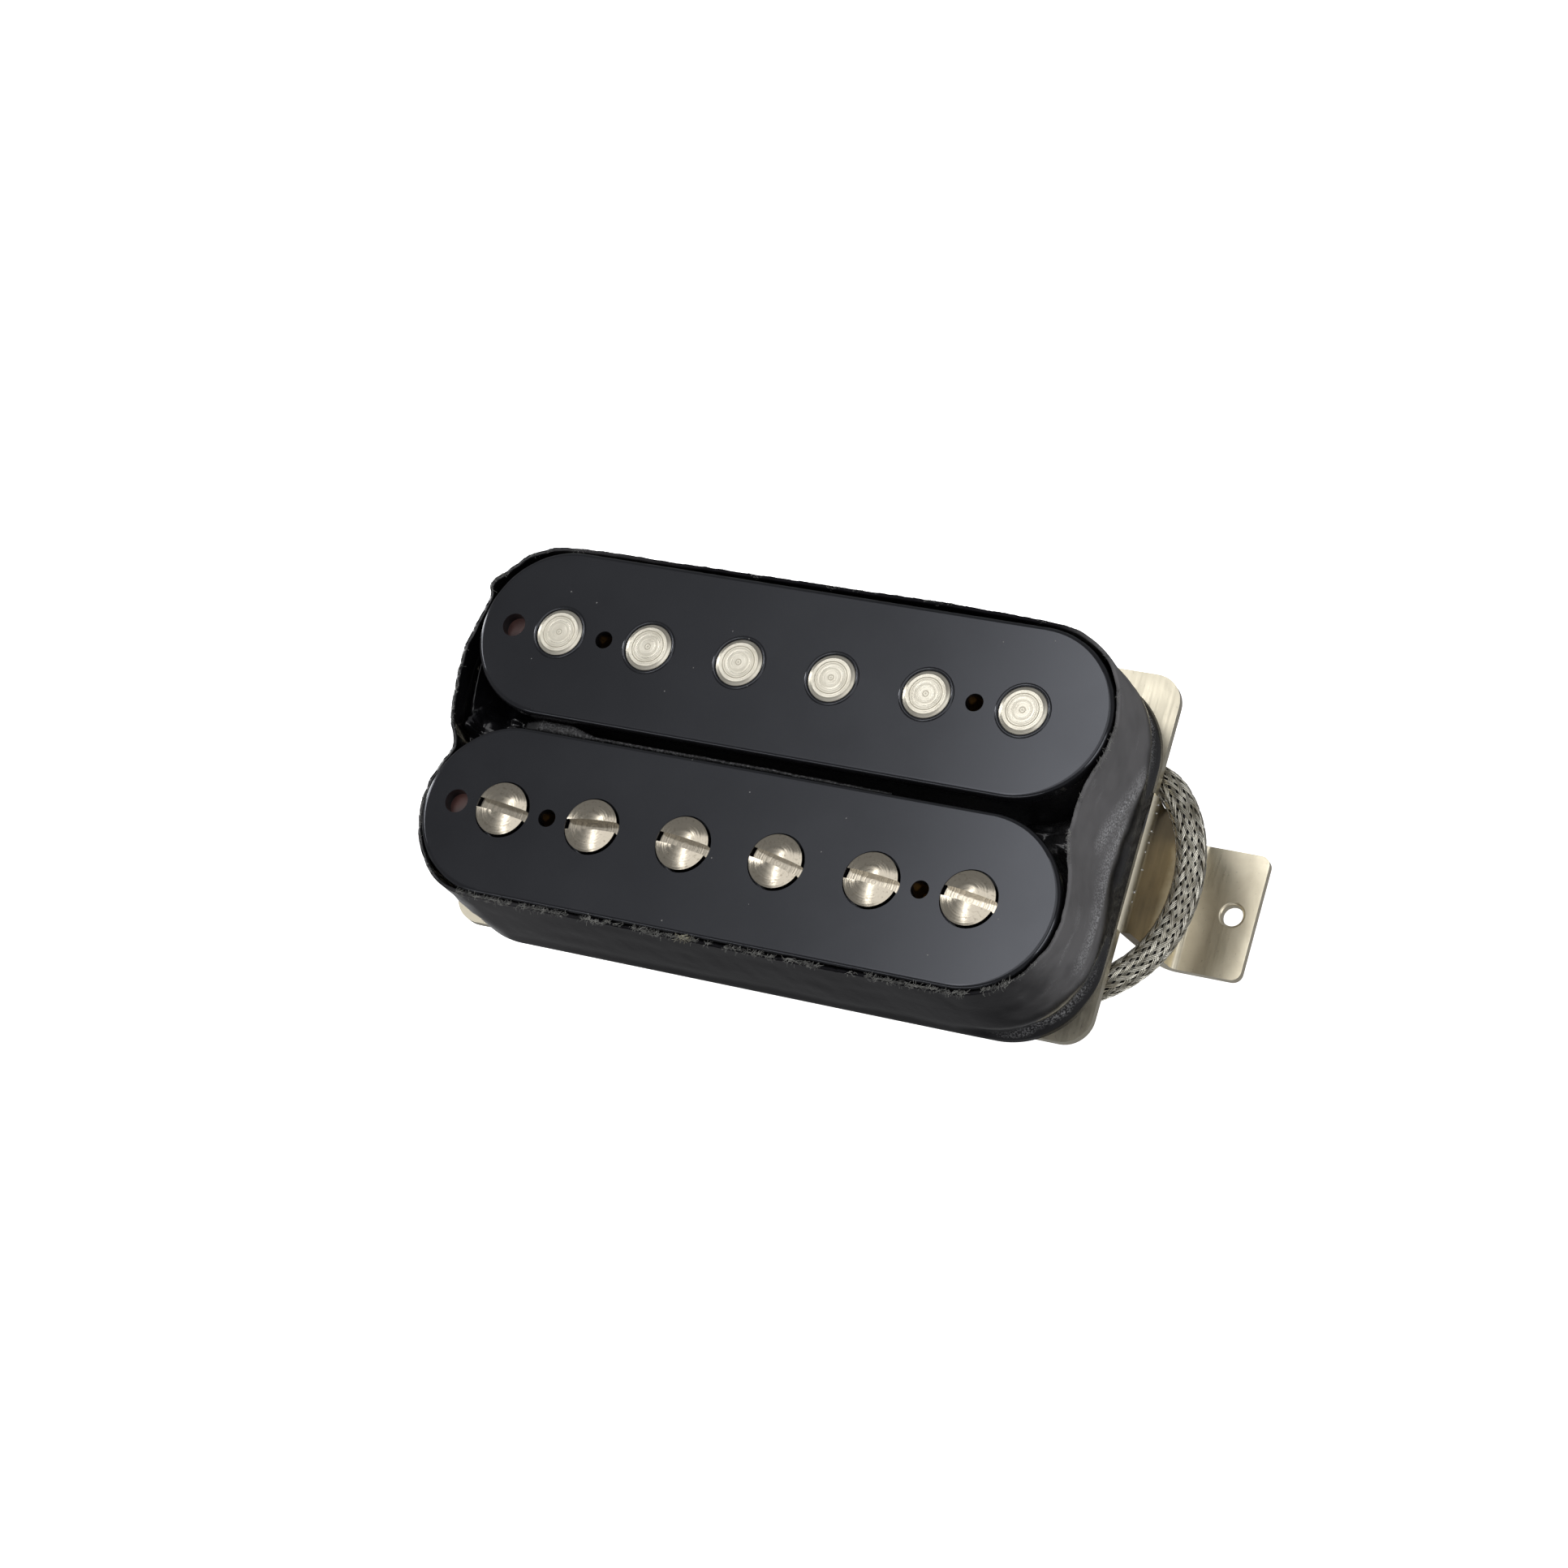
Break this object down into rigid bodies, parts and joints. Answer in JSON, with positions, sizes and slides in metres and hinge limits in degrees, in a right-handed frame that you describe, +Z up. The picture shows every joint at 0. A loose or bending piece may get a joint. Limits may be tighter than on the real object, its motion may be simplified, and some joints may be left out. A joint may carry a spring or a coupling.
{
  "type": "guitar pickup",
  "caption": "Uncovered humbucking guitar pickup on a metal baseplate with long legs, with adjustable pole screws, a row of slug poles and a braided lead.",
  "frame": {"origin": "midway between the two foot holes, on the plane of the feet's undersides", "axes": "+X along the rows of poles, +Y from the pole screws to the slugs, +Z up to the strings"},
  "size_m": [0.0864, 0.0388, 0.0291],
  "materials": {
    "nickel_silver": "satin rolled sheet",
    "black_moulding": "satin gloss moulding",
    "coil_wire": "enamelled wire",
    "coil_tape": "paper tape",
    "bare_steel": "turned",
    "nickel_plate": "nickel plated",
    "magnet": "cast and ground",
    "spacer_wood": "bare",
    "screw_brass": "turned",
    "black_tape": "waxed fibre tape",
    "wire_insulation": "matt",
    "solder": "flowed",
    "braid": "woven tinned strands",
    "tie_paper": "matt"
  },
  "bodies": {
    "pickup": {"baseplate": "nickel_silver", "slug_bobbin": "black_moulding", "screw_bobbin": "black_moulding", "slug_coil": "coil_wire", "screw_coil": "coil_wire", "slug_coil_tape": "coil_tape", "screw_coil_tape": "coil_tape", "slug_poles": "bare_steel", "keeper_bar": "bare_steel", "bar_magnet": "magnet", "wood_spacer": "spacer_wood", "bobbin_screws": "screw_brass", "outer_tape": "black_tape", "hot_wire": "wire_insulation", "link_wire": "wire_insulation", "cable_solder": "solder", "lead_cable": "braid", "lead_hank": "braid", "hank_tie": "tie_paper", "lead_core": "wire_insulation", "lead_tip": "solder"},
    "pole_screw_1": {"pole_screw_1": "nickel_plate"},
    "pole_screw_2": {"pole_screw_2": "nickel_plate"},
    "pole_screw_3": {"pole_screw_3": "nickel_plate"},
    "pole_screw_4": {"pole_screw_4": "nickel_plate"},
    "pole_screw_5": {"pole_screw_5": "nickel_plate"},
    "pole_screw_6": {"pole_screw_6": "nickel_plate"}
  },
  "joints": [
    {"name": "pole_screw_1_height", "type": "slide", "parent": "pickup", "child": "pole_screw_1", "axis": [0, 0, 1], "range_m": [-0.00045, 0.003]},
    {"name": "pole_screw_2_height", "type": "slide", "parent": "pickup", "child": "pole_screw_2", "axis": [0, 0, 1], "range_m": [-0.00045, 0.003]},
    {"name": "pole_screw_3_height", "type": "slide", "parent": "pickup", "child": "pole_screw_3", "axis": [0, 0, 1], "range_m": [-0.00045, 0.003]},
    {"name": "pole_screw_4_height", "type": "slide", "parent": "pickup", "child": "pole_screw_4", "axis": [0, 0, 1], "range_m": [-0.00045, 0.003]},
    {"name": "pole_screw_5_height", "type": "slide", "parent": "pickup", "child": "pole_screw_5", "axis": [0, 0, 1], "range_m": [-0.00045, 0.003]},
    {"name": "pole_screw_6_height", "type": "slide", "parent": "pickup", "child": "pole_screw_6", "axis": [0, 0, 1], "range_m": [-0.00045, 0.003]}
  ]
}
